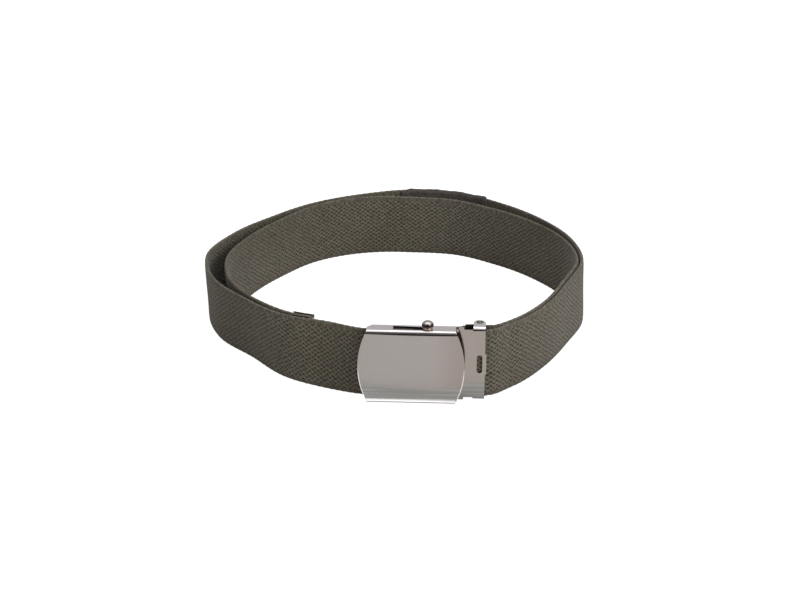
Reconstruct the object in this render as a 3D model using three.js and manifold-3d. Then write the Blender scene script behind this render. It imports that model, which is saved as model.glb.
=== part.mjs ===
// A canvas web belt with a box-frame buckle, standing on its lower edge and closed in two turns.
// Millimetres, +Z up, the buckle's face towards -Y. The origin is the bottom centre of the belt's box.
import * as THREE from "three";
import { mergeVertices } from "three/addons/utils/BufferGeometryUtils.js";
import Module from "manifold-3d";

const wasm = await Module();
wasm.setup();

// Web strap
const webWidth = 31.8;
const webThickness = 1.8;
const webEdgeRound = 0.45;
const edgePlay = 0.2; // under the web's lower edge where metal carries it
const bendSlack = 0.2; // room for the web's curve where it passes a metal edge
const webStep = 5; // spacing of the strap's sections round the loop
const buckleStep = 2.2; // spacing of its sections in the buckle

// Loop
const loopRadius = 90; // what the reach column below is a share of
const turnClearance = 0.45; // least space between the two turns
const buckleShare = 0.97; // how far in front of the loop's centre the face lies, as a share
const buckleSide = 0.1015; // how far to the right, as a share
const leaveBearing = 306; // where the strap is clear of the buckle on the right
const enterBearing = 250; // and on the left
const tipBearing = 242.6; // where the free end stops, inside the outer turn
const innerLead = 4; // degrees by which the inner turn starts past leaveBearing
const leanFade = 0.3; // share of the buckle's curve over which the web comes upright

// Case: face and flanges bent from one sheet
const sheet = 0.8;
const caseClearance = 0.55; // between the web's edges and the flanges
const caseChord = 38; // face length along the flanges
const faceLength = 45.9; // face length at mid height
const faceBow = 0.45; // how far the face stands out at mid height
const caseDepth = 6.4;
const caseBend = 1.2;
const cornerCut = 2.2; // the flange's rear corner on the side where the web enters

// Locking bar and the slots that it slides in
const barRadius = 1.2;
const barX = 7.3;
const barDepth = 3.3;
const barClearance = 0.3;
const slotEnd = -7.8; // the slot's wide end
const slotWideDepth = 3.8;
const slotWideHalf = 1.8;
const knobRadius = 2.4;
const knobNeck = 1.7;
const knobHeight = 4.2;
const collarReach = 0.3; // the collar stands out from the knob's neck
const collarHeight = 0.6;
const collarSlope = 0.3;

// Back plate with its ears
const plateSheet = 0.7;
const seatGap = 0.3; // between pieces that touch on the real buckle
const plateFront = 5;
const plateStart = 14;
const plateEnd = 31.65;
const shoulderStart = 20.1; // the plate is full height between these two
const shoulderEnd = 22.5;
const shoulderDrop = 1.2;
const earX = 26.45; // where the ears begin
const earReach = 8; // how far the ears stand back from the plate's front
const earBend = 0.9;
const earCorner = 2.4;
const lipReach = 2; // the lips that stand forward inside the flanges
const sightSlotX = 29.3;
const sightSlotWidth = 2.4;
const sightSlotHeight = 8.6;
const edgeSwell = 0.55; // the plate's free edge swells beside the slot
const edgeSwellHeight = 9.3;

// Jaw and its pin
const pinRadius = 0.8;
const pinX = 29.1;
const pinDepth = 10.9;
const pinHeadRadius = 1.4;
const pinHeadHeight = 0.5;
const headShoulder = 0.8; // the rivet head's rounding, as shares of its radius and height
const headRise = 0.7;
const headFlat = 0.4;
const jawBarrel = 1.5;
const jawSheet = 0.8;
const jawEnd = 22.9; // the lever's free end
const jawTilt = 0.1; // rise of the lever per millimetre towards the pin
const toothFrom = 0.2; // the tooth's flat end, from the pin's centre
const toothTo = 1;
const toothRoot = -0.6; // and where its slope starts
const clampStart = 24; // the fixed end of the web

// Metal tip and label
const tipLength = 9;
const tipSheet = 0.5;
const tipCorner = 0.15;
const tipRamp = 16; // degrees over which the turns open to make room for the tip
const labelFrom = 60.8;
const labelTo = 92.9;
const labelHeight = 26;
const labelRise = 0.8; // how far its top stands over the strap's edge
const labelThickness = 0.6;
const labelCorner = 0.1;

// Fineness of curves, and lengths that belong to no one piece
const bendSegments = 8;
const faceSegments = 16;
const barSides = 24;
const pinSides = 16;
const knobRings = 8;
const cutPast = 1; // how far a cutting solid reaches past what it cuts
const mergeTolerance = 1e-4;

// One row every 18 degrees, from the right side round by the back. reach is the outer turn's distance
// from the centre as a share of loopRadius, gap the further space between the turns and lean how far
// the top edge stands outwards of the bottom edge, both as shares of webWidth.
const loopRows = [
  { bearing: 0, reach: 0.956, gap: 0, lean: -0.031 },
  { bearing: 18, reach: 0.959, gap: 0.036, lean: -0.05 },
  { bearing: 36, reach: 0.952, gap: 0.105, lean: -0.069 },
  { bearing: 54, reach: 0.966, gap: 0.187, lean: -0.095 },
  { bearing: 72, reach: 1.002, gap: 0.253, lean: -0.107 },
  { bearing: 90, reach: 0.980, gap: 0.247, lean: -0.085 },
  { bearing: 108, reach: 0.924, gap: 0.052, lean: -0.05 },
  { bearing: 126, reach: 0.907, gap: 0.027, lean: -0.045 },
  { bearing: 144, reach: 0.903, gap: 0.105, lean: -0.044 },
  { bearing: 162, reach: 0.947, gap: 0.197, lean: -0.025 },
  { bearing: 180, reach: 1.000, gap: 0.244, lean: 0.006 },
  { bearing: 198, reach: 0.956, gap: 0.165, lean: 0.09 },
  { bearing: 216, reach: 0.879, gap: 0.03, lean: 0.15 },
  { bearing: 234, reach: 0.892, gap: 0, lean: 0.045 },
  { bearing: 252, reach: 0.889, gap: 0, lean: -0.07 },
  { bearing: 270, reach: 0.954, gap: 0, lean: 0 },
  { bearing: 288, reach: 0.998, gap: 0.03, lean: 0 },
  { bearing: 306, reach: 0.969, gap: 0.008, lean: 0.02 },
  { bearing: 324, reach: 0.922, gap: 0, lean: 0.038 },
  { bearing: 342, reach: 0.908, gap: 0, lean: 0 },
];

const caseHeight = webWidth + 2 * (sheet + caseClearance);
const webLift = sheet + edgePlay; // the web's lower edge inside the case
const clampLift = plateSheet + edgePlay; // and between the ears
const plateRear = plateFront + plateSheet;
const plateTop = caseHeight;
const clampDepth = plateRear + seatGap + webThickness / 2;
const clampRear = clampDepth + webThickness / 2 + seatGap;
const earDepth = plateFront + earReach;
const buckleAt = new THREE.Vector2(buckleSide * loopRadius, -buckleShare * loopRadius);

// Closed curves through the table's rows
const rowAngle = 360 / loopRows.length;
const placeCurve = new THREE.CatmullRomCurve3(
  loopRows.map(({ bearing, reach }) => {
    const angle = THREE.MathUtils.degToRad(bearing);
    return new THREE.Vector3(Math.cos(angle), Math.sin(angle), 0).multiplyScalar(reach * loopRadius);
  }),
  true,
  "catmullrom",
);
const poseCurve = new THREE.CatmullRomCurve3(
  loopRows.map(({ gap, lean }) => new THREE.Vector3(gap * webWidth, lean * webWidth, 0)),
  true,
  "catmullrom",
);

function share(bearing) {
  const turns = bearing / (rowAngle * loopRows.length);
  return turns - Math.floor(turns);
}

// A place on the loop, moved inwards from the outer turn's middle
function loopStation(bearing, inner) {
  const u = share(bearing);
  const middle = placeCurve.getPoint(u);
  const along = placeCurve.getTangent(u);
  const outward = new THREE.Vector2(along.y, -along.x).normalize();
  const pose = poseCurve.getPoint(u);
  const tipOpen = 360 + tipBearing - tipRamp;
  const tipRoom = THREE.MathUtils.smoothstep(bearing, tipOpen - tipRamp, tipOpen);
  const inset = inner
    ? webThickness + turnClearance + Math.max(0, pose.x) + tipRoom * (tipSheet + seatGap)
    : 0;
  return { x: middle.x - outward.x * inset, y: middle.y - outward.y * inset, lift: 0, lean: pose.y };
}

function loopStations(from, to, inner) {
  const count = Math.ceil((THREE.MathUtils.degToRad(to - from) * loopRadius) / webStep);
  return Array.from({ length: count + 1 }, (_, i) => loopStation(from + ((to - from) * i) / count, inner));
}

// The web's way through the buckle, in the buckle's own x and depth, joined smoothly to the loop
function buckleStations(before, rows, after) {
  const inBuckle = ([x, depth, lift]) => new THREE.Vector3(x + buckleAt.x, depth + buckleAt.y, lift);
  const onLoop = (s) => new THREE.Vector3(s.x, s.y, s.lift);
  const points = [...before.map(onLoop), ...rows.map(inBuckle), ...after.map(onLoop)];
  const curve = new THREE.CatmullRomCurve3(points, false, "centripetal");
  const count = Math.ceil(curve.getLength() / buckleStep);
  const leanBefore = before.length ? before[before.length - 1].lean : 0;
  const leanAfter = after.length ? after[0].lean : 0;
  const found = [];
  for (let i = 0; i <= count; i++) {
    const t = i / count;
    const p = curve.getPointAt(t);
    const fadeIn = THREE.MathUtils.smoothstep(t, 0, leanFade);
    const fadeOut = THREE.MathUtils.smoothstep(t, 1 - leanFade, 1);
    found.push({
      x: p.x,
      y: p.y,
      lift: Math.max(0, p.z),
      lean: leanBefore * (before.length ? 1 - fadeIn : 0) + leanAfter * (after.length ? fadeOut : 0),
    });
  }
  return found;
}

const halfWeb = webThickness / 2;
const barRear = barDepth + barRadius + barClearance + halfWeb + bendSlack;
const caseEntry = -caseChord / 2;
const plateBack = plateRear + seatGap + halfWeb + bendSlack;
const earBack = earDepth + seatGap + halfWeb + bendSlack;

const clampRows = [
  [clampStart, clampDepth, clampLift],
  [(clampStart + plateEnd) / 2, clampDepth, clampLift],
  [plateEnd - webThickness, clampDepth + bendSlack / 2, clampLift],
  [plateEnd + 2 * webThickness, clampDepth + webThickness, clampLift],
];
const passRows = [
  [caseEntry - caseBend, barRear - 2 * bendSlack, webLift],
  [caseEntry / 2, barRear - 2 * bendSlack, webLift],
  [0, barRear - bendSlack, webLift],
  [barX, barRear, webLift],
  [plateStart, plateBack, webLift],
  [(plateStart + earX) / 2, (plateBack + earBack) / 2, webLift / 2],
  [earX, earBack, 0],
  [plateEnd, earBack, 0],
  [plateEnd + 2 * webThickness, earBack + bendSlack, 0],
];

const outerTurn = loopStations(leaveBearing, 360 + enterBearing, false);
const innerTurn = loopStations(leaveBearing + innerLead, 360 + tipBearing, true);
const clampRun = buckleStations([], clampRows, outerTurn.slice(0, 2));
const passRun = buckleStations(outerTurn.slice(-2), passRows, innerTurn.slice(0, 2));
const strapStations = [
  ...clampRun.slice(0, -1),
  ...outerTurn.slice(1, -1),
  ...passRun.slice(3, -1),
  ...innerTurn.slice(1),
];

// Sections swept along stations; each section point is [across, up], across positive to the outside
function sweep(stations, section) {
  const positions = [];
  stations.forEach((station, i) => {
    const a = stations[Math.max(0, i - 1)];
    const b = stations[Math.min(stations.length - 1, i + 1)];
    const outward = new THREE.Vector2(b.y - a.y, a.x - b.x).normalize();
    section.forEach(([across, up]) => {
      const shift = across + (station.lean * up) / webWidth;
      positions.push(station.x + outward.x * shift, station.y + outward.y * shift, station.lift + up);
    });
  });
  const n = section.length;
  const index = [];
  for (let i = 0; i + 1 < stations.length; i++)
    for (let j = 0; j < n; j++) {
      const k = (j + 1) % n;
      index.push(i * n + j, (i + 1) * n + k, (i + 1) * n + j, i * n + j, i * n + k, (i + 1) * n + k);
    }
  const last = (stations.length - 1) * n;
  for (let j = 1; j + 1 < n; j++) {
    index.push(0, j + 1, j);
    index.push(last, last + j, last + j + 1);
  }
  const geometry = new THREE.BufferGeometry();
  geometry.setAttribute("position", new THREE.Float32BufferAttribute(positions, 3));
  geometry.setIndex(index);
  geometry.computeVertexNormals();
  return geometry;
}

// A flat strip's section with cut corners
function stripSection(inside, outside, low, high, corner) {
  return [
    [inside, low + corner],
    [inside, high - corner],
    [inside + corner, high],
    [outside - corner, high],
    [outside, high - corner],
    [outside, low + corner],
    [outside - corner, low],
    [inside + corner, low],
  ];
}

function toSolid(geometry) {
  const bare = geometry.clone();
  bare.deleteAttribute("normal");
  bare.deleteAttribute("uv");
  const merged = mergeVertices(bare, mergeTolerance);
  return new wasm.Manifold(
    new wasm.Mesh({
      numProp: 3,
      vertProperties: new Float32Array(merged.attributes.position.array),
      triVerts: new Uint32Array(merged.index.array),
    }),
  );
}

function toGeometry(solid) {
  const mesh = solid.getMesh();
  const geometry = new THREE.BufferGeometry();
  geometry.setAttribute("position", new THREE.BufferAttribute(new Float32Array(mesh.vertProperties), 3));
  geometry.setIndex(new THREE.BufferAttribute(new Uint32Array(mesh.triVerts), 1));
  geometry.computeVertexNormals();
  return geometry;
}

// A prism of a flat outline: along z from (x, y), along x from (y, z), along y from (x, z)
function prism(shape, axis, low, high, curveSegments = bendSegments) {
  const geometry = new THREE.ExtrudeGeometry(shape, { depth: high - low, bevelEnabled: false, curveSegments });
  if (axis === "z") geometry.translate(0, 0, low);
  if (axis === "x") {
    geometry.rotateX(Math.PI / 2).rotateZ(Math.PI / 2);
    geometry.translate(low, 0, 0);
  }
  if (axis === "y") {
    geometry.rotateX(Math.PI / 2);
    geometry.translate(0, high, 0);
  }
  return toSolid(geometry);
}

function polygon(points) {
  return new THREE.Shape(points.map(([a, b]) => new THREE.Vector2(a, b)));
}

function rectangle(left, right, low, high) {
  return polygon([
    [left, low],
    [right, low],
    [right, high],
    [left, high],
  ]);
}

// The case's bent section in (depth, height)
function caseSection() {
  const low = caseBend;
  const high = caseHeight - caseBend;
  const inner = caseBend - sheet;
  const shape = new THREE.Shape();
  shape.moveTo(caseDepth, 0);
  shape.lineTo(caseBend, 0);
  shape.absarc(caseBend, low, caseBend, -Math.PI / 2, -Math.PI, true);
  shape.quadraticCurveTo(-2 * faceBow, caseHeight / 2, 0, high);
  shape.absarc(caseBend, high, caseBend, Math.PI, Math.PI / 2, true);
  shape.lineTo(caseDepth, caseHeight);
  shape.lineTo(caseDepth, caseHeight - sheet);
  shape.lineTo(caseBend, caseHeight - sheet);
  shape.absarc(caseBend, high, inner, Math.PI / 2, Math.PI, false);
  shape.quadraticCurveTo(sheet - 2 * faceBow, caseHeight / 2, sheet, low);
  shape.absarc(caseBend, low, inner, Math.PI, 1.5 * Math.PI, false);
  shape.lineTo(caseDepth, sheet);
  return shape;
}

// The face's barrel outline in (x, height), cut a little past the flanges
function barrelOutline() {
  const swell = (faceLength - caseChord) / 2;
  const middle = caseHeight / 2;
  const radius = middle ** 2 / (2 * swell) + swell / 2;
  const centre = faceLength / 2 - radius;
  const half = Math.asin(middle / radius);
  const shape = new THREE.Shape();
  shape.absarc(centre, middle, radius, -half, half, false);
  shape.lineTo(caseChord / 2, caseHeight + sheet);
  shape.lineTo(-caseChord / 2, caseHeight + sheet);
  shape.absarc(-centre, middle, radius, Math.PI - half, Math.PI + half, false);
  shape.lineTo(-caseChord / 2, -sheet);
  shape.lineTo(caseChord / 2, -sheet);
  return shape;
}

// The tapered slot with a round end that holds the bar
function barSlot() {
  const round = barRadius + barClearance;
  const shape = new THREE.Shape();
  shape.moveTo(slotEnd, slotWideDepth - slotWideHalf);
  shape.lineTo(barX, barDepth - round);
  shape.absarc(barX, barDepth, round, -Math.PI / 2, Math.PI / 2, false);
  shape.lineTo(slotEnd, slotWideDepth + slotWideHalf);
  return shape;
}

function makeCase() {
  const section = prism(caseSection(), "x", -faceLength / 2 - cutPast, faceLength / 2 + cutPast, bendSegments);
  const outline = prism(barrelOutline(), "y", -2 * faceBow - cutPast, caseDepth + cutPast, faceSegments);
  const corner = polygon([
    [caseEntry - cutPast, caseDepth - cornerCut - cutPast],
    [caseEntry + cornerCut + cutPast, caseDepth + cutPast],
    [caseEntry - cutPast, caseDepth + cutPast],
  ]);
  const through = (shape) => prism(shape, "z", -cutPast, caseHeight + cutPast);
  const cuts = through(barSlot()).add(through(corner));
  return section.intersect(outline).subtract(cuts);
}

// A solid turned about z from [radius, height] points
function turned(points, sides) {
  const geometry = new THREE.LatheGeometry(points.map(([r, z]) => new THREE.Vector2(r, z)), sides);
  return toGeometry(toSolid(geometry.rotateX(Math.PI / 2)));
}

// Rod, collar and ball in one turned piece
function makeBar() {
  const top = caseHeight + seatGap;
  const centre = top + knobHeight - knobRadius;
  const points = [
    [0, seatGap],
    [barRadius, seatGap],
    [barRadius, top],
    [knobNeck + collarReach, top],
    [knobNeck + collarReach, top + collarHeight],
    [knobNeck, top + collarHeight + collarSlope],
  ];
  const start = -Math.acos(knobNeck / knobRadius);
  for (let i = 0; i < knobRings; i++) {
    const angle = start + ((Math.PI / 2 - start) * i) / knobRings;
    points.push([knobRadius * Math.cos(angle), centre + knobRadius * Math.sin(angle)]);
  }
  points.push([0, centre + knobRadius]);
  return turned(points, barSides);
}

// The plate's outline in (x, height)
function plateOutline() {
  const low = shoulderDrop;
  const high = plateTop - shoulderDrop;
  const middle = plateTop / 2;
  const swell = edgeSwellHeight / 2;
  const inside = sheet + seatGap;
  return polygon([
    [plateStart, inside],
    [shoulderStart, inside],
    [shoulderStart, 0],
    [shoulderEnd, 0],
    [shoulderEnd, low],
    [plateEnd, low],
    [plateEnd, middle - swell - edgeSwell],
    [plateEnd + edgeSwell, middle - swell],
    [plateEnd + edgeSwell, middle + swell],
    [plateEnd, middle + swell + edgeSwell],
    [plateEnd, high],
    [shoulderEnd, high],
    [shoulderEnd, plateTop],
    [shoulderStart, plateTop],
    [shoulderStart, plateTop - inside],
    [plateStart, plateTop - inside],
  ]);
}

// The ears' bent section in (depth, height)
function earSection() {
  const outer = earBend + plateSheet;
  const shape = new THREE.Shape();
  shape.moveTo(earDepth, 0);
  shape.lineTo(plateFront + outer, 0);
  shape.absarc(plateFront + outer, outer, outer, -Math.PI / 2, -Math.PI, true);
  shape.lineTo(plateFront, plateTop - outer);
  shape.absarc(plateFront + outer, plateTop - outer, outer, Math.PI, Math.PI / 2, true);
  shape.lineTo(earDepth, plateTop);
  shape.lineTo(earDepth, plateTop - plateSheet);
  shape.lineTo(plateFront + outer, plateTop - plateSheet);
  shape.absarc(plateFront + outer, plateTop - outer, earBend, Math.PI / 2, Math.PI, false);
  shape.lineTo(plateRear, outer);
  shape.absarc(plateFront + outer, outer, earBend, Math.PI, 1.5 * Math.PI, false);
  shape.lineTo(earDepth, plateSheet);
  return shape;
}

function makePlate() {
  const flat = prism(plateOutline(), "y", plateFront, plateRear);
  const earPlan = new THREE.Shape();
  earPlan.moveTo(earX, plateFront - cutPast);
  earPlan.lineTo(plateEnd, plateFront - cutPast);
  earPlan.lineTo(plateEnd, earDepth - earCorner);
  earPlan.absarc(plateEnd - earCorner, earDepth - earCorner, earCorner, 0, Math.PI / 2, false);
  earPlan.lineTo(earX + earCorner, earDepth);
  earPlan.absarc(earX + earCorner, earDepth - earCorner, earCorner, Math.PI / 2, Math.PI, false);
  const through = (shape) => prism(shape, "z", -cutPast, plateTop + cutPast, bendSegments);
  const ears = prism(earSection(), "x", earX, plateEnd, bendSegments).intersect(through(earPlan));
  const lipLow = sheet + seatGap;
  const lip = (low, high) =>
    prism(rectangle(plateStart, shoulderStart, plateFront - lipReach, plateFront + plateSheet / 2), "z", low, high);
  const lips = lip(lipLow, lipLow + plateSheet).add(
    lip(plateTop - lipLow - plateSheet, plateTop - lipLow),
  );
  const slotHalf = (sightSlotHeight - sightSlotWidth) / 2;
  const slot = new THREE.Shape();
  slot.absarc(sightSlotX, plateTop / 2 + slotHalf, sightSlotWidth / 2, 0, Math.PI, false);
  slot.absarc(sightSlotX, plateTop / 2 - slotHalf, sightSlotWidth / 2, Math.PI, 2 * Math.PI, false);
  const pinHole = new THREE.Shape();
  pinHole.absarc(pinX, pinDepth, pinRadius + seatGap, 0, 2 * Math.PI, false);
  return flat
    .add(ears)
    .add(lips)
    .subtract(prism(slot, "y", plateFront - cutPast, plateRear + cutPast, bendSegments))
    .subtract(through(pinHole));
}

// The jaw: a barrel round the pin, a tooth that bites the web and a lever behind it
function makeJaw() {
  const low = plateSheet + seatGap;
  const high = plateTop - low;
  const barrel = new THREE.Shape();
  barrel.absarc(pinX, pinDepth, jawBarrel, 0, 2 * Math.PI, false);
  const tooth = polygon([
    [pinX + toothRoot, pinDepth],
    [pinX + toothFrom, clampRear],
    [pinX + toothTo, clampRear],
    [pinX + jawBarrel, pinDepth],
  ]);
  const rise = (pinX - jawEnd) * jawTilt;
  const lever = polygon([
    [jawEnd, pinDepth - rise - jawSheet / 2],
    [pinX, pinDepth - jawSheet / 2],
    [pinX, pinDepth + jawSheet / 2],
    [jawEnd, pinDepth - rise + jawSheet / 2],
  ]);
  const hole = new THREE.Shape();
  hole.absarc(pinX, pinDepth, pinRadius + seatGap, 0, 2 * Math.PI, false);
  return prism(barrel, "z", low, high, bendSegments)
    .add(prism(tooth, "z", low, high))
    .add(prism(lever, "z", low, high))
    .subtract(prism(hole, "z", -cutPast, plateTop + cutPast, bendSegments));
}

// The pin stays inside the ears below, and ends in a low rivet head above
function makePin() {
  const top = plateTop + seatGap;
  const points = [
    [0, seatGap],
    [pinRadius, seatGap],
    [pinRadius, top],
    [pinHeadRadius, top],
    [pinHeadRadius * headShoulder, top + pinHeadHeight * headRise],
    [pinHeadRadius * headFlat, top + pinHeadHeight],
    [0, top + pinHeadHeight],
  ];
  return turned(points, pinSides);
}

// The tip: a sheet folded round the strap's end, open at its top and bottom
function makeTip() {
  const stations = strapStations.slice(-6);
  const length = (a, b) => Math.hypot(b.x - a.x, b.y - a.y);
  let left = tipLength;
  const outline = [];
  const end = stations[stations.length - 1];
  const before = stations[stations.length - 2];
  const along = new THREE.Vector2(end.x - before.x, end.y - before.y).normalize();
  outline.push({ x: end.x + along.x * seatGap, y: end.y + along.y * seatGap, lean: end.lean });
  for (let i = stations.length - 1; i > 0 && left > 0; i--) {
    const a = stations[i];
    const b = stations[i - 1];
    const step = Math.min(left, length(a, b));
    const t = step / length(a, b);
    outline.push({ x: a.x + (b.x - a.x) * t, y: a.y + (b.y - a.y) * t, lean: a.lean + (b.lean - a.lean) * t });
    left -= step;
  }
  outline.reverse();
  const run = outline.map((s) => ({ ...s, lift: 0 }));
  const wall = halfWeb + seatGap;
  const section = stripSection(-wall - tipSheet, wall + tipSheet, 0, webWidth, tipCorner);
  const cover = toSolid(sweep(run, section));
  const last = run[run.length - 1];
  const cap = { ...last, x: last.x + along.x * tipSheet, y: last.y + along.y * tipSheet };
  const close = toSolid(sweep([last, cap], section));
  const first = run[0];
  const back = { ...first, x: first.x - along.x * cutPast, y: first.y - along.y * cutPast };
  const hollow = toSolid(
    sweep([back, ...run], [
      [-wall, -cutPast],
      [-wall, webWidth + cutPast],
      [wall, webWidth + cutPast],
      [wall, -cutPast],
    ]),
  );
  return toGeometry(cover.add(close).subtract(hollow));
}

// The label lies on the inner side of the outer turn
function makeLabel() {
  const stations = loopStations(labelFrom, labelTo, false);
  const near = -halfWeb - seatGap;
  const top = webWidth + labelRise;
  return sweep(stations, stripSection(near - labelThickness, near, top - labelHeight, top, labelCorner));
}

function finish(color, roughness, metalness) {
  return new THREE.MeshStandardMaterial({ color, roughness, metalness });
}
const canvas = finish(0x5c584c, 0.95, 0);
const satinNickel = finish(0xa39a94, 0.35, 1);
const brightNickel = finish(0xb5aca6, 0.2, 1);
const labelCloth = finish(0x45413c, 0.9, 0);

function named(name, geometry, material) {
  const mesh = new THREE.Mesh(geometry, material);
  mesh.name = name;
  return mesh;
}

const belt = new THREE.Group();
const buckle = new THREE.Group();
buckle.position.set(buckleAt.x, buckleAt.y, 0);
buckle.add(named("buckle_case", toGeometry(makeCase()), satinNickel));
buckle.add(named("back_plate", toGeometry(makePlate()), satinNickel));
buckle.add(named("clamp_jaw", toGeometry(makeJaw()), brightNickel));

const bar = named("locking_bar", makeBar(), brightNickel);
bar.position.set(barX, barDepth, 0);
const pin = named("jaw_pin", makePin(), brightNickel);
pin.position.set(pinX, pinDepth, 0);
buckle.add(bar, pin);

const strapSection = stripSection(-halfWeb, halfWeb, 0, webWidth, webEdgeRound);
belt.add(named("web_strap", sweep(strapStations, strapSection), canvas));
belt.add(named("end_tip", makeTip(), brightNickel));
belt.add(named("cloth_label", makeLabel(), labelCloth));
belt.add(buckle);

// The origin goes to the middle of the belt's box, at the height that it stands on
const box = new THREE.Box3().setFromObject(belt, true);
const centre = box.getCenter(new THREE.Vector3());
belt.position.set(-centre.x, -centre.y, -box.min.z);
const part = new THREE.Group();
part.add(belt);

export default part;
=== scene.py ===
# A canvas web belt with a box-frame buckle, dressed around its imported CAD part.
import math

import bmesh
import bpy
import numpy as np
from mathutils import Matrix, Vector


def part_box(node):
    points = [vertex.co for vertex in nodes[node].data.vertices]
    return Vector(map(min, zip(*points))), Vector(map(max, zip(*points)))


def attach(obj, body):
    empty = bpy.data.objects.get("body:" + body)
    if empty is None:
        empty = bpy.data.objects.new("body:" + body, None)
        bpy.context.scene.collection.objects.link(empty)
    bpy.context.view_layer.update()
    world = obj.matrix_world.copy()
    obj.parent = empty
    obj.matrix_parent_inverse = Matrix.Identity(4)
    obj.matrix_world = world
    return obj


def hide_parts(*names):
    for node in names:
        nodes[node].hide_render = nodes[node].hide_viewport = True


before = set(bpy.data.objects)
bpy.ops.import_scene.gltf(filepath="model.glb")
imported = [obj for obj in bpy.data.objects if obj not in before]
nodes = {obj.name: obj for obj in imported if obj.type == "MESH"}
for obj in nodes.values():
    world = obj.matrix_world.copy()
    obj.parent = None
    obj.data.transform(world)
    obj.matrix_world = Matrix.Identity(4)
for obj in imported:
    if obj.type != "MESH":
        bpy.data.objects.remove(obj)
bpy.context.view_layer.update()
mm = 0.001
metre = 1000  # in millimetres
fullCircle = 2 * math.pi
clear = (0.3, 0.7)  # what is kept of a noise, from its dark parts to its light ones


# A shader value that takes part in Python sums
class Wire:
    def __init__(self, paint, socket):
        self.paint = paint
        self.socket = socket

    def sum(self, operation, *others):
        values = dict(enumerate((self, *others)))
        return self.paint.node("ShaderNodeMath", {"operation": operation}, values)

    def flipped(self, operation, other):
        return self.paint.node("ShaderNodeMath", {"operation": operation}, {0: other, 1: self})

    def __add__(self, other):
        return self.sum("ADD", other)

    def __mul__(self, other):
        return self.sum("MULTIPLY", other)

    def __sub__(self, other):
        return self.sum("SUBTRACT", other)

    def __truediv__(self, other):
        return self.sum("DIVIDE", other)

    def __rsub__(self, other):
        return self.flipped("SUBTRACT", other)

    def fract(self):
        return self.sum("FRACT")

    def cos(self):
        return self.sum("COSINE")

    def size(self):
        return self.sum("ABSOLUTE")

    def least(self, other):
        return self.sum("MINIMUM", other)

    def most(self, other):
        return self.sum("MAXIMUM", other)

    # 0 below low, 1 above high and smooth between them
    def rise(self, low, high):
        settings = {"interpolation_type": "SMOOTHSTEP", "clamp": True}
        sockets = {0: self, 1: low, 2: high, 3: 0, 4: 1}
        return self.paint.node("ShaderNodeMapRange", settings, sockets)


# One material, built on a Principled shader
class Paint:
    def __init__(self, name, **plain):
        self.material = bpy.data.materials.new(name)
        self.material.use_nodes = True
        self.tree = self.material.node_tree
        self.shader = self.tree.nodes["Principled BSDF"]
        for socket, value in plain.items():
            self.feed(socket.replace("_", " "), value)

    # A node from its type, its settings and then its sockets' values or links
    def node(self, kind, settings=None, sockets=None, out=0):
        made = self.tree.nodes.new(kind)
        for key, value in (settings or {}).items():
            setattr(made, key, value)
        for key, value in (sockets or {}).items():
            self.join(made.inputs[key], value)
        return Wire(self, made.outputs[out])

    def join(self, socket, value):
        if isinstance(value, Wire):
            self.tree.links.new(value.socket, socket)
        else:
            socket.default_value = value

    def feed(self, socket, value):
        self.join(self.shader.inputs[socket], value)

    def mix(self, factor, low, high):
        settings = {"data_type": "RGBA"}
        return self.node("ShaderNodeMix", settings, {0: factor, 6: low, 7: high}, out=2)

    def place(self):
        return self.node("ShaderNodeTexCoord", out="Object")

    def stretched(self, scale):
        settings = {"operation": "MULTIPLY"}
        return self.node("ShaderNodeVectorMath", settings, {0: self.place(), 1: scale})

    def noise(self, scale, detail=2, vector=None):
        sockets = {"Scale": scale, "Detail": detail}
        sockets["Vector"] = vector or self.place()
        return self.node("ShaderNodeTexNoise", None, sockets)

    def axes(self, vector):
        split = self.node("ShaderNodeSeparateXYZ", None, {0: vector}).socket.node
        return [Wire(self, socket) for socket in split.outputs]

    # Distance along a cloth piece and height on it, in millimetres
    def clothPlace(self):
        along, up, _ = self.axes(self.node("ShaderNodeUVMap", {"uv_map": "weave"}))
        return along * metre, up * metre

    def bump(self, height, distance, strength=1):
        sockets = {"Height": height, "Distance": distance, "Strength": strength}
        self.feed("Normal", self.node("ShaderNodeBump", None, sockets))


def rgba(red, green, blue):
    return (red, green, blue, 1)


studio = {
    "cameraAt": (41.27, -775.49, 366.66),  # millimetres
    "bearing": 2.896,  # degrees right of the buckle's face
    "downward": 24.763,
    "lens": 81.05,
    "sensor": 36,
    "nearest": 0.01,  # metres, as all that follows here
    "floorSize": 8,
    "floorAt": -0.0001,  # both just under the web's lower edge
    "tableAt": -0.00005,
    "floorColour": rgba(0.4, 0.4, 0.4),
    "floorGlow": 0.9,  # a lit table, so that the belt casts hardly any shadow
    "tableColour": rgba(0.52, 0.51, 0.5),  # what the metal and the web see in its place
    "worldColour": rgba(1, 0.995, 0.99),
    "worldStrength": 0.5,
    "lamps": [
        # all of them look at the belt
        {"name": "overhead", "at": (0.1, 0.2, 1.5), "size": 1.6, "power": 10},
        {"name": "leftFront", "at": (-1.2, -1.1, 1.25), "size": 0.9, "power": 2.5},
        {"name": "rightFront", "at": (1.3, -1.1, 1.0), "size": 0.9, "power": 18},
    ],
    # cards that only the metal mirrors: a dark one behind the camera, a white one before the buckle
    "darkCard": {
        "at": (0, -1.15, 0.4),
        "size": (4.4, 0.76),
        "tilt": 90,
        "colour": rgba(0.012, 0.011, 0.01),
        "glow": 0,
    },
    "whiteCard": {
        "at": (0.0075, -0.0899, 0.0002),
        "size": (0.046, 0.0022),
        "tilt": 0,
        "colour": rgba(0.8, 0.8, 0.8),
        "glow": 0.9,
    },
}


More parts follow.
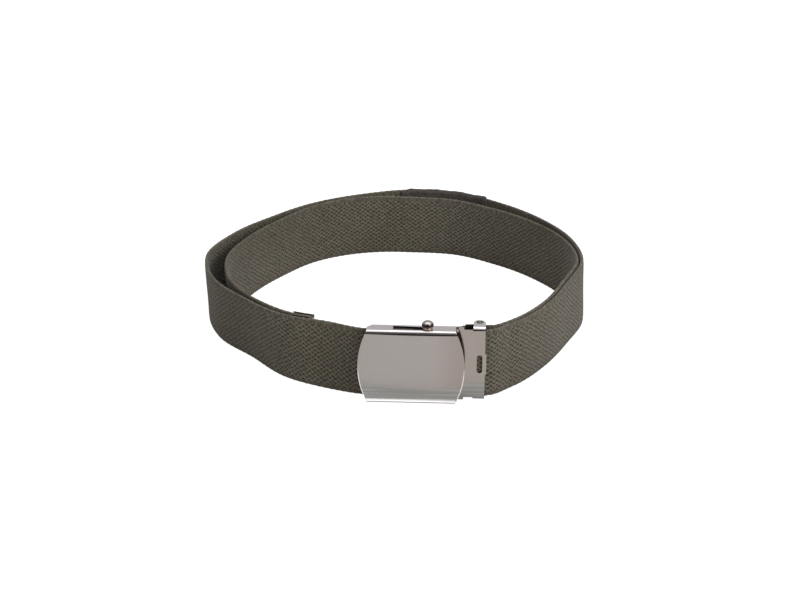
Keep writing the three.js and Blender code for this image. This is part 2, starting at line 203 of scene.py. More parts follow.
def addCamera():
    data = bpy.data.cameras.new("camera")
    data.lens = studio["lens"]
    data.sensor_width = studio["sensor"]
    data.clip_start = studio["nearest"]
    camera = bpy.data.objects.new("camera", data)
    camera.location = [value * mm for value in studio["cameraAt"]]
    turn = math.radians(studio["bearing"])
    camera.rotation_euler = (math.radians(90 - studio["downward"]), 0, turn)
    bpy.context.scene.collection.objects.link(camera)
    bpy.context.scene.camera = camera


def addLamps():
    for lamp in studio["lamps"]:
        data = bpy.data.lights.new(lamp["name"], "AREA")
        data.shape = "SQUARE"
        data.size = lamp["size"]
        data.energy = lamp["power"]
        held = bpy.data.objects.new(lamp["name"], data)
        held.location = lamp["at"]
        held.rotation_euler = (-Vector(lamp["at"])).to_track_quat("-Z", "Y").to_euler()
        bpy.context.scene.collection.objects.link(held)


def addSurroundings():
    world = bpy.data.worlds.new("studio")
    world.use_nodes = True
    sky = world.node_tree.nodes["Background"]
    sky.inputs["Color"].default_value = studio["worldColour"]
    sky.inputs["Strength"].default_value = studio["worldStrength"]
    bpy.context.scene.world = world
    size = (studio["floorSize"], studio["floorSize"])
    floorAt, tableAt = ((0, 0, studio[name]) for name in ("floorAt", "tableAt"))
    floor = addCard("floor", floorAt, size, 0, studio["floorColour"], studio["floorGlow"])
    table = addCard("table", tableAt, size, 0, studio["tableColour"], 0)
    floor.visible_diffuse = floor.visible_glossy = False
    table.visible_camera = table.visible_shadow = False
    for name in ("darkCard", "whiteCard"):
        kind = studio[name]
        card = addCard(name, kind["at"], kind["size"], kind["tilt"], kind["colour"], kind["glow"])
        card.visible_camera = card.visible_diffuse = card.visible_shadow = False


# A flat stage piece, lying at tilt 0 and standing at 90
def addCard(name, at, size, tilt, colour, glow):
    wide, deep = (value / 2 for value in size)
    mesh = bpy.data.meshes.new(name)
    corners = [(-wide, -deep, 0), (wide, -deep, 0), (wide, deep, 0), (-wide, deep, 0)]
    mesh.from_pydata(corners, [], [(0, 1, 2, 3)])
    paint = Paint(name, Base_Color=colour, Roughness=1)
    paint.feed("Emission Color", rgba(1, 1, 1))
    paint.feed("Emission Strength", glow)
    mesh.materials.append(paint.material)
    card = bpy.data.objects.new(name, mesh)
    card.location = at
    card.rotation_euler = (math.radians(tilt), 0, 0)
    bpy.context.scene.collection.objects.link(card)
    return card


bpy.context.scene.view_settings.view_transform = "Standard"
addCamera()
addLamps()
addSurroundings()
print("studio ready")

# The web's way, repeated from the part, in millimetres and degrees
web = {
    "width": 31.8,
    "thickness": 1.8,
    "radius": 90,  # what the reaches below are shares of
    "turnClearance": 0.45,
    "buckleAt": (0.1015, -0.97),  # shares of the radius
    "leave": 306,
    "enter": 250,
    "tip": 242.6,
    "innerLead": 4,
    "tipRamp": 16,
    "tipRoom": 0.8,
    "stationGap": 5,
    "buckleGap": 2.2,
    "leanFade": 0.3,
    "slopeStep": 0.03,
    "curveSteps": 40,
    # every 18 degrees from the right side round by the back: the outer turn's distance from the
    # middle as shares of the radius, and the space between the turns and the top edge's lean
    # outwards as shares of the width
    "reach": [
        0.956, 0.959, 0.952, 0.966, 1.002, 0.980, 0.924, 0.907, 0.903, 0.947,
        1.000, 0.956, 0.879, 0.892, 0.889, 0.954, 0.998, 0.969, 0.922, 0.908,
    ],
    "gap": [
        0, 0.036, 0.105, 0.187, 0.253, 0.247, 0.052, 0.027, 0.105, 0.197,
        0.244, 0.165, 0.03, 0, 0, 0, 0.03, 0.008, 0, 0,
    ],
    "lean": [
        -0.031, -0.05, -0.069, -0.095, -0.107, -0.085, -0.05, -0.045, -0.044, -0.025,
        0.006, 0.09, 0.15, 0.045, -0.07, 0, 0, 0.02, 0.038, 0,
    ],
    # through the buckle as [x, depth, lift] from the middle of its face
    "clampRows": [[24, 6.9, 0.9], [27.825, 6.9, 0.9], [29.85, 7, 0.9], [35.25, 8.7, 0.9]],
    "passRows": [
        [-20.2, 5.5, 1.2], [-9.5, 6.4, 1.8], [0, 6.3, 1.8], [7.3, 6, 1.75], [14, 7.1, 1.4],
        [20.225, 10.75, 0.6], [26.45, 14.4, 0], [31.65, 14.4, 0], [35.25, 14.6, 0],
    ],
}
fullTurn = 360


def ease(value, low, high):
    t = min(1, max(0, (value - low) / (high - low)))
    return t * t * (3 - 2 * t)


# One span of a cubic from its end values and slopes
def span(a, b, slopeA, slopeB, t):
    return (
        a
        + slopeA * t
        + (3 * (b - a) - 2 * slopeA - slopeB) * t * t
        + (2 * (a - b) + slopeA + slopeB) * t * t * t
    )


def closedCurve(rows, bearing):
    count = len(rows)
    whole = (bearing / fullTurn % 1) * count
    first = int(whole)
    a, b, c, d = (rows[(first + step) % count] for step in (-1, 0, 1, 2))
    return span(b, c, (c - a) / 2, (d - b) / 2, whole - first)


def turnPlace(bearing):
    angles = np.radians(np.arange(len(web["reach"])) * fullTurn / len(web["reach"]))
    reach = np.array(web["reach"]) * web["radius"]
    return closedCurve(np.column_stack([np.cos(angles), np.sin(angles)]) * reach[:, None], bearing)


# x, y, lift and lean at a bearing, on the outer or the inner turn
def turnStation(bearing, inner):
    middle = turnPlace(bearing)
    along = turnPlace(bearing + web["slopeStep"]) - turnPlace(bearing - web["slopeStep"])
    outward = np.array([along[1], -along[0]]) / np.hypot(*along)
    room = closedCurve(np.array(web["gap"]) * web["width"], bearing)
    lean = closedCurve(np.array(web["lean"]) * web["width"], bearing)
    inset = 0
    if inner:
        opened = fullTurn + web["tip"] - web["tipRamp"]
        tipRoom = ease(bearing, opened - web["tipRamp"], opened) * web["tipRoom"]
        inset = web["thickness"] + web["turnClearance"] + max(0, room) + tipRoom
    return np.array([*(middle - outward * inset), 0, lean])


def turnStations(start, end, inner):
    length = math.radians(end - start) * web["radius"]
    count = math.ceil(length / web["stationGap"])
    return [turnStation(bearing, inner) for bearing in np.linspace(start, end, count + 1)]


# Points on a smooth open curve through the given ones, evenly spaced
def openCurve(points, gap):
    ends = [2 * points[0] - points[1], *points, 2 * points[-1] - points[-2]]
    fine = []
    for a, b, c, d in zip(ends, ends[1:], ends[2:], ends[3:]):
        pairs = ((a, b), (b, c), (c, d))
        first, middle, last = (math.sqrt(np.linalg.norm(q - p)) for p, q in pairs)
        slopeB = ((b - a) / first - (c - a) / (first + middle) + (c - b) / middle) * middle
        slopeC = ((c - b) / middle - (d - b) / (middle + last) + (d - c) / last) * middle
        steps = np.linspace(0, 1, web["curveSteps"], endpoint=False)
        fine += [span(b, c, slopeB, slopeC, t) for t in steps]
    fine = np.array([*fine, points[-1]])
    length = np.concatenate([[0], np.cumsum(np.linalg.norm(np.diff(fine, axis=0), axis=1))])
    wanted = np.linspace(0, length[-1], math.ceil(length[-1] / gap) + 1)
    return np.column_stack([np.interp(wanted, length, fine[:, axis]) for axis in range(3)])


# The web's stations through the buckle, from the last ones before it to the first ones after it
def buckleStations(before, rows, after):
    middle = np.array(web["buckleAt"]) * web["radius"]
    inBuckle = [np.array([x + middle[0], depth + middle[1], lift]) for x, depth, lift in rows]
    points = [*(s[:3] for s in before), *inBuckle, *(s[:3] for s in after)]
    run = openCurve(points, web["buckleGap"])
    shares = np.linspace(0, 1, len(run))
    fade = web["leanFade"]
    leans = [
        (before[-1][3] * (1 - ease(share, 0, fade)) if before else 0)
        + (after[0][3] * ease(share, 1 - fade, 1) if after else 0)
        for share in shares
    ]
    run[:, 2] = np.maximum(0, run[:, 2])
    return list(np.column_stack([run, leans]))


# The whole web as evenly spaced stations, with their distances along it
def strapLine(gap):
    outer = turnStations(web["leave"], fullTurn + web["enter"], False)
    inner = turnStations(web["leave"] + web["innerLead"], fullTurn + web["tip"], True)
    clamped = buckleStations([], web["clampRows"], outer[:2])
    passed = buckleStations(outer[-2:], web["passRows"], inner[:2])
    # the pass begins on the outer turn's last stretch, so its first three stations are left out
    stations = np.array([*clamped[:-1], *outer[1:-1], *passed[3:-1], *inner[1:]])
    steps = np.hypot(*np.diff(stations[:, :2], axis=0).T)
    length = np.concatenate([[0], np.cumsum(steps)])
    wanted = np.linspace(0, length[-1], math.ceil(length[-1] / gap) + 1)
    # a smooth curve through the stations: slopes from the neighbours, then one cubic per span
    slopes = np.gradient(stations, length, axis=0)
    found = []
    for at in wanted:
        i = min(len(stations) - 2, int(np.searchsorted(length, at, side="right")) - 1)
        room = length[i + 1] - length[i]
        slopeA, slopeB = slopes[i] * room, slopes[i + 1] * room
        found.append(span(stations[i], stations[i + 1], slopeA, slopeB, (at - length[i]) / room))
    return np.array(found), wanted


def addMesh(name, points, faces, paint, uv=None):
    mesh = bpy.data.meshes.new(name)
    mesh.from_pydata([tuple(point) for point in np.asarray(points) * mm], [], faces)
    if uv is not None:
        layer = mesh.uv_layers.new(name="weave")
        corners = np.zeros(len(mesh.loops), np.int32)
        mesh.loops.foreach_get("vertex_index", corners)
        layer.data.foreach_set("uv", np.asarray(uv)[corners].astype(np.float32).ravel())
    mesh.materials.append(paint.material)
    mesh.shade_smooth()
    piece = bpy.data.objects.new(name, mesh)
    bpy.context.scene.collection.objects.link(piece)
    return piece


# A closed loft: every ring has the same number of points, and both ends are capped
def loftFaces(rings, around):
    faces = []
    for start in range(0, (rings - 1) * around, around):
        for j in range(around):
            k = (j + 1) % around
            faces.append((start + j, start + k, start + around + k, start + around + j))
    last = (rings - 1) * around
    faces.append(tuple(range(around))[::-1])
    faces.append(tuple(range(last, last + around)))
    return faces


# Unit vectors square to a line, towards the loop's outside
def outwardOf(line):
    along = np.gradient(line[:, :2], axis=0)
    along /= np.linalg.norm(along, axis=1)[:, None]
    return np.column_stack([along[:, 1], -along[:, 0]])


def declare(piece, node):
    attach(piece, "root")
    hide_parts(node)
    return piece


refining = {
    "weld": 0.004,  # millimetres
    "flatAngle": 0.5,  # degrees
    "sharpAngle": 35,
    "segments": 3,
}


# A finished copy of a CAD node: welded, its flats joined, its edges rounded
def refined(node, name, paint, rounding, edgePaint=None):
    source = nodes[node]
    mesh = source.data.copy()
    mesh.name = name
    work = bmesh.new()
    work.from_mesh(mesh)
    bmesh.ops.remove_doubles(work, verts=work.verts, dist=refining["weld"] * mm)
    flat, sharp = (math.radians(refining[name]) for name in ("flatAngle", "sharpAngle"))
    bmesh.ops.dissolve_limit(
        work, angle_limit=flat, verts=work.verts, edges=work.edges, delimit=set()
    )
    edges = [
        edge for edge in work.edges
        if len(edge.link_faces) == 2 and edge.calc_face_angle(0) > sharp
    ]
    bmesh.ops.bevel(
        work,
        geom=edges,
        offset=rounding * mm,
        offset_type="OFFSET",
        segments=refining["segments"],
        profile=0.5,
        affect="EDGES",
        clamp_overlap=True,
        material=1 if edgePaint else -1,
    )
    bmesh.ops.triangulate(work, faces=work.faces)
    work.to_mesh(mesh)
    work.free()
    mesh.materials.clear()
    mesh.materials.append(paint.material)
    if edgePaint:
        mesh.materials.append(edgePaint.material)
    mesh.shade_smooth()
    piece = bpy.data.objects.new(name, mesh)
    bpy.context.scene.collection.objects.link(piece)
    bpy.context.view_layer.objects.active = piece
    smooth = piece.modifiers.new("faceNormals", "WEIGHTED_NORMAL")
    smooth.keep_sharp = True
    return declare(piece, node)


weave = {
    "floatPitch": 2.9,  # along the web, millimetres
    "rowPitch": 2.12,  # across it
    "waveHeight": 0.27,  # how far a row weaves up and down, as a share of its pitch
    "sway": 1.9,  # how far the rounds wander along and across the web
    "swayScale": 260,
    "drift": 1.5,
    "driftScale": 240,
    "selvedge": 2.3,
    "selvedgeFade": (-0.35, 0.25),  # before it and behind it
    "selvedgePitch": 1.45,
    "relief": 0.2,
    "lineFade": (0.14, 0.6),  # from the painted shade line to the round's crown
    "knobScale": 900,
    "patchScale": 560,
    "fibreScale": 2600,
    "toneScale": 16,
    "yarn": rgba(0.132, 0.117, 0.086),
    "yarnWorn": rgba(0.173, 0.156, 0.121),
    # painted shade: the colour of the dark lines between the rounds
    "gap": rgba(0.017, 0.014, 0.009),
}


def webPaint():
    paint = Paint("canvasWeb", Roughness=0.92, Sheen_Weight=0.12, Sheen_Roughness=0.5)
    paint.feed("Specular IOR Level", 0.2)
    along, up = paint.clothPlace()
    sway = paint.noise(weave["swayScale"]) - 0.5
    drift = paint.noise(weave["driftScale"]) - 0.5
    u = (along + sway * weave["sway"]) / weave["floatPitch"]
    v = (up + drift * weave["drift"]) / weave["rowPitch"]

    # each row of yarn weaves up and down, in step with its neighbours, between dark waves of
    # painted shade
    wave = (u * fullCircle).cos()
    crown = wave * wave
    rounded = wave * (1.5 - crown * 0.5)
    fromLine = 1 - ((v + rounded * weave["waveHeight"]).fract() * 2 - 1).size()
    depth = (1 - fromLine.rise(*weave["lineFade"])) * (crown * 0.65 + 0.35)
    floats = 1 - depth - (1 - crown) * 0.16
    knobs = paint.noise(weave["knobScale"]).rise(*clear)
    ribs = ((along + drift * 2) * (fullCircle / weave["selvedgePitch"])).cos()
    ribs = ribs * 0.09 + knobs * 0.3 + 0.42
    fromEdge = up.least(web["width"] - up)
    inside = fromEdge.rise(*(weave["selvedge"] + value for value in weave["selvedgeFade"]))
    height = ribs + (floats - ribs) * inside
    fibre = paint.noise(weave["fibreScale"])
    patch = paint.noise(weave["patchScale"]).rise(*clear)
    shade = (height.rise(0.02, 0.95) * (patch * 0.42 + 0.62) + fibre * 0.18).least(1)
    tone = paint.noise(weave["toneScale"], 3).rise(*clear)
    yarn = paint.mix(tone, weave["yarn"], weave["yarnWorn"])
    # the yarn darkens to the painted shade colour in the lines between the rounds
    paint.feed("Base Color", paint.mix(shade, weave["gap"], yarn))
    paint.bump(height + fibre * 0.15, weave["relief"] * mm)
    return paint


strap = {
    "step": 0.52,
    "columns": 17,
    "edgePoints": 7,
    "selvedgeHalf": 0.74,  # the selvedge is thinner than the body
    "selvedgeFade": (1.6, 2.9),
    "loopPitch": 3.1,  # the weft's loops at both edges
    "loopDepth": 0.15,
    "ripple": 0.12,
    "rippleAlong": 7.3,
    "rippleUp": 5.1,
    "rippleTwist": 19,
    "rippleShare": 0.6,
}


def makeStrap(paint):
    line, at = strapLine(strap["step"])
    outward = outwardOf(line)
    half = web["thickness"] / 2
    edge = strap["selvedgeHalf"]
    rise = np.linspace(edge, web["width"] - edge, strap["columns"])
    fromEdge = np.minimum(rise, web["width"] - rise)
    fade = strap["selvedgeFade"]
    thick = np.array([edge + (half - edge) * ease(value, *fade) for value in fromEdge])
    turn = np.linspace(0, math.pi, strap["edgePoints"] + 2)[1:-1]
    across = [*thick, *(edge * np.cos(turn)), *(-thick[::-1]), *(-edge * np.cos(turn))]
    up = [*rise, *(rise[-1] + edge * np.sin(turn)), *rise[::-1], *(rise[0] - edge * np.sin(turn))]
    across, up = np.array(across), np.array(up)
    low = np.clip((edge - up) / edge, 0, 1)
    high = np.clip((up - web["width"] + edge) / edge, 0, 1)
    points, uv = [], []
    for station, out, distance in zip(line, outward, at):
        beat = 0.5 - 0.5 * math.cos(fullCircle * distance / strap["loopPitch"])
        other = 0.5 - 0.5 * math.cos(fullCircle * (distance / strap["loopPitch"] + 0.5))
        level = up - high * beat * strap["loopDepth"] + low * other * strap["loopDepth"]
        twist = np.cos(up / strap["rippleUp"] + distance / strap["rippleTwist"])
        wave = strap["ripple"] * math.sin(distance / strap["rippleAlong"]) * twist
        shift = across + wave * strap["rippleShare"] + station[3] * up / web["width"]
        points.append(np.column_stack([
            station[0] + out[0] * shift,
            station[1] + out[1] * shift,
            station[2] + level,
        ]))
        uv.append(np.column_stack([np.full(len(up), distance), up]) * mm)
    points = np.concatenate(points)
    points[:, :2] += offset
    faces = loftFaces(len(line), len(up))
    piece = addMesh("cotton_web", points, faces, paint, np.concatenate(uv))
    return declare(piece, "web_strap"), at[-1]


# The part's face, in millimetres
caseFace = {
    "length": 45.9,
    "chord": 38,  # its length along the flanges
    "bow": 0.45,
    "innerTo": 1.6,  # no place on the sheet's inner side lies further behind its front
}

# The part's origin is the middle of its box, and the case's corner gives the loop's shift to it
buckleMiddle = np.array(web["buckleAt"]) * web["radius"]
lowCorner, highCorner = (np.array(corner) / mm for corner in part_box("buckle_case"))
faceMiddle = (lowCorner[0] + highCorner[0]) / 2
offset = np.array([
    faceMiddle - buckleMiddle[0],
    lowCorner[1] + caseFace["bow"] - buckleMiddle[1],
])

canvas = webPaint()
clothWeb, webLength = makeStrap(canvas)
print("web ready", round(webLength, 1), "mm long,", len(clothWeb.data.polygons), "faces")

metal = {
    "satin": rgba(0.60, 0.555, 0.53),
    "satinLit": rgba(0.68, 0.635, 0.61),
    "warm": rgba(0.55, 0.485, 0.44),
    "warmLit": rgba(0.65, 0.585, 0.545),
    # the bends' high polish is painted paler than the satin, a painted highlight
    "polishedHighlight": rgba(0.84, 0.80, 0.805),
    "bright": rgba(0.62, 0.565, 0.535),
    "brightLit": rgba(0.72, 0.67, 0.64),
    "cool": rgba(0.47, 0.475, 0.465),
    "streak": rgba(0.70, 0.715, 0.71),
    "darkReflection": rgba(0.03, 0.024, 0.022),
    "bronze": rgba(0.52, 0.42, 0.37),
    "darkReflectionLine": 0.62,  # the dark line's thickness under the upper bend, millimetres; a painted reflection
    # painted shade: a dark, rough metal for the case's inside, the jaw and the countersink
    "dullShade": rgba(0.10, 0.08, 0.065),
    "dullShadeLit": rgba(0.16, 0.13, 0.105),
    "tip": rgba(0.13, 0.105, 0.08),
    "tipLit": rgba(0.26, 0.215, 0.17),
    "cloudScale": 28,
    "brushing": (3600, 3600, 90),
    "streaking": (24, 24, 900),
    "lowBand": 1.5,  # millimetres of high-polish metal, painted pale as a highlight, at the lower bend and at the upper one
    "lowFade": 0.4,
    "highBand": 0.9,
    "highFade": 0.2,
    "streaksTo": 9.5,
    "streakFade": 4,
    "streakSag": 1.4,  # how far the streaks' upper end rises to both sides, and sinks to the right
    "streakTilt": 1.1,
    "rimFoot": (1.5, 3),  # the heights between which the pale rims, a painted reflection, come and go
    "rimTop": (13, 18.5),
    "rimReflectionGlow": 0.6,
    "earFrom": 1.15,  # half face lengths right of its middle
    "rounding": 0.26,
    "fineRounding": 0.12,
    "jawRounding": 0.1,
    "wornEdge": 1.2,  # the tip's upper edge is worn to the bronze
    "wornFade": 0.4,
    "wornScale": 420,
}


# Brushed metal. With a height it has streaks low down, an upper bend with a high polish painted
# pale as a highlight, and a dark line under it, a painted reflection. The face has a lower bend
# painted pale the same way, and pale rims that glow as a painted reflection. With bendsFrom the
# upper bend and its line begin only there
def metalPaint(name, colour, lit, roughness, grain, height=None, bendsFrom=None):
    paint = Paint(name, Metallic=1)
    cloud = paint.noise(metal["cloudScale"]).rise(*clear)
    brushed = paint.noise(1, 2, paint.stretched(metal["brushing"]))
    shade = paint.mix(cloud * 0.5 + brushed * 0.4, metal[colour], metal[lit])
    rough = cloud * 0.05 + brushed * 0.08 * grain + roughness
    if height:
        x, _, z = paint.axes(paint.place())
        up = z / mm
        aside = (x / mm - faceMiddle) / (caseFace["length"] / 2)
        level = up - aside * aside * metal["streakSag"] + aside * metal["streakTilt"]
        low = 1 - up.rise(metal["lowBand"] - metal["lowFade"], metal["lowBand"])
        bendAt = height - metal["highBand"]
        high = up.rise(bendAt - metal["highFade"], bendAt)
        where = 1
        if bendsFrom is None:
            shade = paint.mix(aside.rise(0.3, 1) * 0.5, shade, metal["bronze"])
            # the curved sides' lower rims glow white, a painted reflection of the white floor
            fromMiddle = up * (2 / height) - 1
            bulge = 1 - caseFace["chord"] / caseFace["length"]
            side = 1 - fromMiddle * fromMiddle * bulge - aside.size()
            rimReflection = (1 - side.rise(0.006, 0.018)) * (1 - up.rise(*metal["rimTop"]))
            rimReflection = rimReflection * up.rise(*metal["rimFoot"])
            paint.feed("Emission Color", paint.mix(rimReflection, rgba(0, 0, 0), rgba(1, 1, 1)))
            paint.feed("Emission Strength", metal["rimReflectionGlow"])
        else:
            low = 0
            where = aside.rise(bendsFrom - 0.01, bendsFrom)
        streaks = paint.noise(1, 3, paint.stretched(metal["streaking"])).rise(0.45, 0.6)
        zone = 1 - level.rise(metal["streaksTo"] - metal["streakFade"], metal["streaksTo"])
        shade = paint.mix(zone * 0.8, shade, metal["cool"])
        shade = paint.mix(streaks * zone * 0.55, shade, metal["streak"])
        # painted reflection: a dark line under the upper bend
        thick = (1.15 - aside * aside * 0.6 + aside * 0.15) * metal["darkReflectionLine"]
        under = up + thick + metal["highBand"]
        line = under.rise(height - 0.5, height - 0.05) * where
        shade = paint.mix(line, shade, metal["darkReflection"])
        # the bends get a high polish and a paler colour, a painted highlight
        bend = (high * where).most(low)
        shade = paint.mix(bend, shade, metal["polishedHighlight"])
        rough = rough * (1 - bend * 0.5)
    paint.feed("Base Color", shade)
    paint.feed("Roughness", rough)
    paint.bump(brushed, 0.004 * mm * grain, 0.6)
    return paint


# A piece turned about a standing line from [radius, height] points
def turned(name, profile, sides, paint, at, node):
    points = []
    for radius, height in profile:
        for turn in np.linspace(0, fullCircle, sides, endpoint=False):
            x, y = at[0] + radius * math.cos(turn), at[1] + radius * math.sin(turn)
            points.append((x, y, height))
    piece = addMesh(name, points, loftFaces(len(profile), sides), paint)
    return declare(piece, node)


def arcPoints(middle, radius, start, end, count):
    angles = np.radians(np.linspace(start, end, count))
    return [(middle[0] + radius * math.cos(a), middle[1] + radius * math.sin(a)) for a in angles]


knob = {
    "sides": 48,
    "axis": 0.01,  # the radius at both ends, so that no point is doubled
    "rod": 1.2,
    "rodRound": 0.3,
    "from": 0.3,
    "seat": 0.1,  # over the flange
    "collar": 2.2,
    "collarHeight": 0.55,
    "collarRound": 0.2,
    "neck": 1.95,
    "neckRise": 0.05,
    "head": 2.55,
    "headFrom": 1.55,  # where the head is widest, over the seat
    "headRound": 0.6,
    "drop": 0.95,  # its top under the part's
    "crown": 1.75,  # the head's rounded shoulder
    "dome": 0.04,
    "shift": -0.3,  # the bar rests a little towards its slot's wide end
    "wornScale": 700,
    "bellyReflectionFrom": (1.1, 1.7),  # over the seat
    "capFrom": (-0.75, -0.3),  # from the top
    # the pale top is a painted highlight and the dark middle a painted reflection of the dark room
    "cap": rgba(0.56, 0.52, 0.5),
    "bellyReflection": rgba(0.07, 0.05, 0.045),
    "bronze": rgba(0.46, 0.38, 0.32),
}


# Its middle is painted dark, a painted reflection of the dark room, between a top painted pale as a
# highlight and a bronze collar
def knobPaint(seat, top):
    paint = Paint("knobMetal", Metallic=1)
    _, _, z = paint.axes(paint.place())
    worn = paint.noise(knob["wornScale"], 3)
    up = z / mm + worn * 0.35
    bellyReflection = up.rise(*(seat + value for value in knob["bellyReflectionFrom"]))
    cap = up.rise(*(top + value for value in knob["capFrom"]))
    shade = paint.mix(bellyReflection, knob["bronze"], knob["bellyReflection"])
    shade = paint.mix(cap, shade, knob["cap"])
    paint.feed("Base Color", shade)
    paint.feed("Roughness", worn * 0.06 + 0.07)
    paint.bump(worn, 0.01 * mm)
    return paint


def makeBar(caseTop):
    low, high = (np.array(corner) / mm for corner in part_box("locking_bar"))
    at = ((low[0] + high[0]) / 2 + knob["shift"], (low[1] + high[1]) / 2)
    seat = caseTop + knob["seat"]
    top = high[2] - knob["drop"]
    rod, foot, rodRound = knob["rod"], knob["from"], knob["rodRound"]
    collar, collarTop, lip = knob["collar"], seat + knob["collarHeight"], knob["collarRound"]
    head, headRound, crown = knob["head"], knob["headRound"], knob["crown"]
    profile = [
        (knob["axis"], foot),
        *arcPoints((rod - rodRound, foot + rodRound), rodRound, -90, 0, 4),
        (rod, seat),
        *arcPoints((collar - lip, seat + lip), lip, -90, 0, 4),
        *arcPoints((collar - lip, collarTop - lip), lip, 0, 90, 4),
        (knob["neck"], collarTop + knob["neckRise"]),
        *arcPoints((head - headRound, seat + knob["headFrom"]), headRound, -50, 0, 6),
        *arcPoints((head - crown, top - crown), crown, 0, 86, 14),
        (knob["axis"], top + knob["dome"]),
    ]
    turned("bar_with_knob", profile, knob["sides"], knobPaint(seat, top), at, "locking_bar")


pin = {
    "sides": 32,
    "radius": 0.8,
    # radius and height over the ear's top
    "end": [(0.8, -0.6), (0.45, -0.5), *arcPoints((0.1, -0.1), 0.35, 0, 90, 6), (0.01, 0.25)],
    "ring": [(0.35, -0.3), (1.45, -0.3), (1.5, 0.03), (1.25, 0.05), (0.5, -0.15), (0.35, -0.2)],
}


# The hinge pin is riveted in a small countersink painted dark as shade, and its end stands up in
# the middle of it
def makePin(paint, darkPaint, earTop):
    low, high = (np.array(corner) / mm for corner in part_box("jaw_pin"))
    at = ((low[0] + high[0]) / 2, (low[1] + high[1]) / 2)
    end, ring = ([(radius, earTop + up) for radius, up in pin[key]] for key in ("end", "ring"))
    profile = [(knob["axis"], low[2]), (pin["radius"], low[2]), *end]
    turned("rivet_pin", profile, pin["sides"], paint, at, "jaw_pin")
    turned("rivet_countersink", ring, pin["sides"], darkPaint, at, "jaw_pin")


caseTop = highCorner[2]
satin = metalPaint("satinNickel", "satin", "satinLit", 0.17, 1, caseTop)
satinWarm = metalPaint("satinNickelWarm", "warm", "warmLit", 0.09, 0.5, caseTop, metal["earFrom"])
bright = metalPaint("brightNickel", "bright", "brightLit", 0.07, 0.3)
dullShade = metalPaint("dullShadeInside", "dullShade", "dullShadeLit", 0.4, 1)
# pale paint for high-polish edges, a painted highlight
edges = metalPaint("polishedEdgeHighlight", "polishedHighlight", "polishedHighlight", 0.08, 0.2)
tipMetal = metalPaint("tipMetal", "bright", "brightLit", 0.22, 0.5)
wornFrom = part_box("end_tip")[1][2] - metal["wornEdge"] * mm
worn = tipMetal.axes(tipMetal.place())[2].rise(wornFrom, wornFrom + metal["wornFade"] * mm)
plain = Wire(tipMetal, tipMetal.shader.inputs["Base Color"].links[0].from_socket)
spotted = tipMetal.noise(metal["wornScale"]).rise(0.5, 0.7)
spots = tipMetal.mix(spotted, metal["tip"], metal["tipLit"])
tipMetal.feed("Base Color", tipMetal.mix(worn, plain, spots))

# the case's rounded edges are painted pale, partly a high polish and partly a painted highlight
case = refined("buckle_case", "bent_case", satin, metal["rounding"], edges)
case.data.materials.append(dullShade.material)
innerTo = lowCorner[1] + caseFace["innerTo"]  # the inner side of the face's sheet gets the rough dark metal, painted shade inside the case
for face in case.data.polygons:
    if face.normal.y > 0.5 and face.center.y / mm < innerTo:
        face.material_index = 2
refined("back_plate", "base_plate", satinWarm, metal["rounding"])
# the jaw is painted dark, painted shade inside the buckle
refined("clamp_jaw", "jaw", dullShade, metal["jawRounding"])
makeBar(caseTop)
makePin(bright, dullShade, caseTop)
tip = refined("end_tip", "metal_tip", tipMetal, metal["fineRounding"])
print("metal ready")

label = {
    "from": 60.8,  # bearings of its ends
    "to": 92.9,
    "above": 0.8,  # how far it stands over the web's edge
    "gap": 0.05,
    "thickness": 0.5,
    "step": 0.8,  # degrees between its sections
    "rows": 12,
    "curl": 0.5,  # how far the proud corner leaves the web, and how much higher it stands
    "stand": 0.7,
    "proudTo": (1, 8),  # along the label
    "proudFrom": (0.55, 1),  # shares of its height
    "waves": [(0.2, 0.45), (0.12, 1.3)],  # how high and how close
    "endDrop": 1.6,  # how far its other upper corner hangs
    "endFade": 5,
    "sagShare": 0.6,
    "colour": rgba(0.045, 0.039, 0.034),
    "lit": rgba(0.115, 0.102, 0.092),
    "thread": rgba(0.125, 0.112, 0.095),
    "pitch": 0.45,
    "stitch": 2.4,
    "stitchIn": 1.3,
    "stitchHalf": (0.15, 0.3),  # half a stitch's thickness, from its full part to its rim
    "cloudScale": 650,
    "relief": 0.12,
}


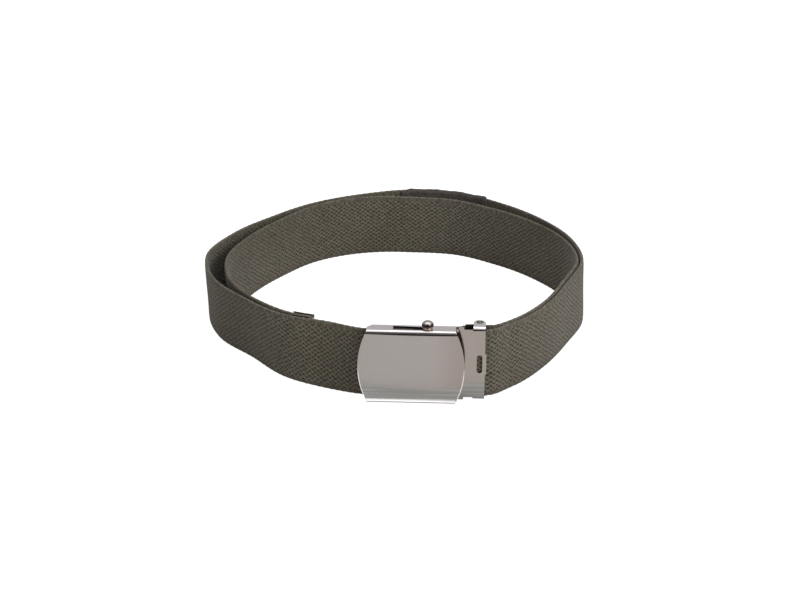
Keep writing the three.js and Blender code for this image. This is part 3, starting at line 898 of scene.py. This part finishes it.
def labelPaint(length):
    paint = Paint("labelCloth", Roughness=0.85, Sheen_Weight=0.1)
    along, up = paint.clothPlace()
    weft = (up * (fullCircle / label["pitch"])).cos() * 0.5 + 0.5
    warp = (along * (fullCircle / label["pitch"])).cos() * 0.5 + 0.5
    cloud = paint.noise(label["cloudScale"], 3)
    tone = weft * 0.2 + warp * 0.15 + cloud.rise(*clear) * 0.75
    shade = paint.mix(tone.least(1), label["colour"], label["lit"])
    inset = (along.least(length - along) - label["stitchIn"]).size()
    dash = (up * (fullCircle / label["stitch"])).cos().rise(-0.2, 0.2)
    seam = (1 - inset.rise(*label["stitchHalf"])) * dash
    paint.feed("Base Color", paint.mix(seam, shade, label["thread"]))
    paint.bump(weft * 0.3 + warp * 0.3 + cloud * 0.6 + seam, label["relief"] * mm)
    return paint


# A bare strip of cloth sewn to the inner side of the outer turn, one upper corner standing proud
def makeLabel():
    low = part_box("cloth_label")[0][2] / mm
    high = web["width"] + label["above"]
    bearings = np.arange(label["from"], label["to"], label["step"])
    line = np.array([turnStation(bearing, False) for bearing in bearings])
    outward = outwardOf(line)
    length = np.concatenate([[0], np.cumsum(np.hypot(*np.diff(line[:, :2], axis=0).T))])
    up = np.linspace(low, high, label["rows"])
    share = (up - low) / (high - low)
    points, uv = [], []
    for station, out, distance in zip(line, outward, length):
        free = np.array([ease(value, *label["proudFrom"]) for value in share])
        free = (1 - ease(distance, *label["proudTo"])) * free
        fade = ease(length[-1] - distance, 0, label["endFade"])
        waves = sum(height * math.sin(distance * close) for height, close in label["waves"])
        sag = waves - label["endDrop"] * (1 - fade)
        near = -(web["thickness"] / 2 + label["gap"]) - free * label["curl"]
        far = near - label["thickness"]
        lift = up + share * sag * label["sagShare"] + free * label["stand"]
        lean = station[3] * up / web["width"]
        for side, order in ((near, 1), (far, -1)):
            shift = (side + lean)[::order]
            points.append(np.column_stack([
                station[0] + out[0] * shift, station[1] + out[1] * shift, lift[::order],
            ]))
            uv.append(np.column_stack([np.full(len(up), distance), up[::order]]) * mm)
    points = np.concatenate(points)
    points[:, :2] += offset
    faces = loftFaces(len(line), 2 * len(up))
    piece = addMesh("sewn_label", points, faces, labelPaint(length[-1]), np.concatenate(uv))
    declare(piece, "cloth_label")
    return piece, length[-1] * mm, (high - low) * mm


clothLabel, labelLength, labelHeight = makeLabel()
print("label ready")
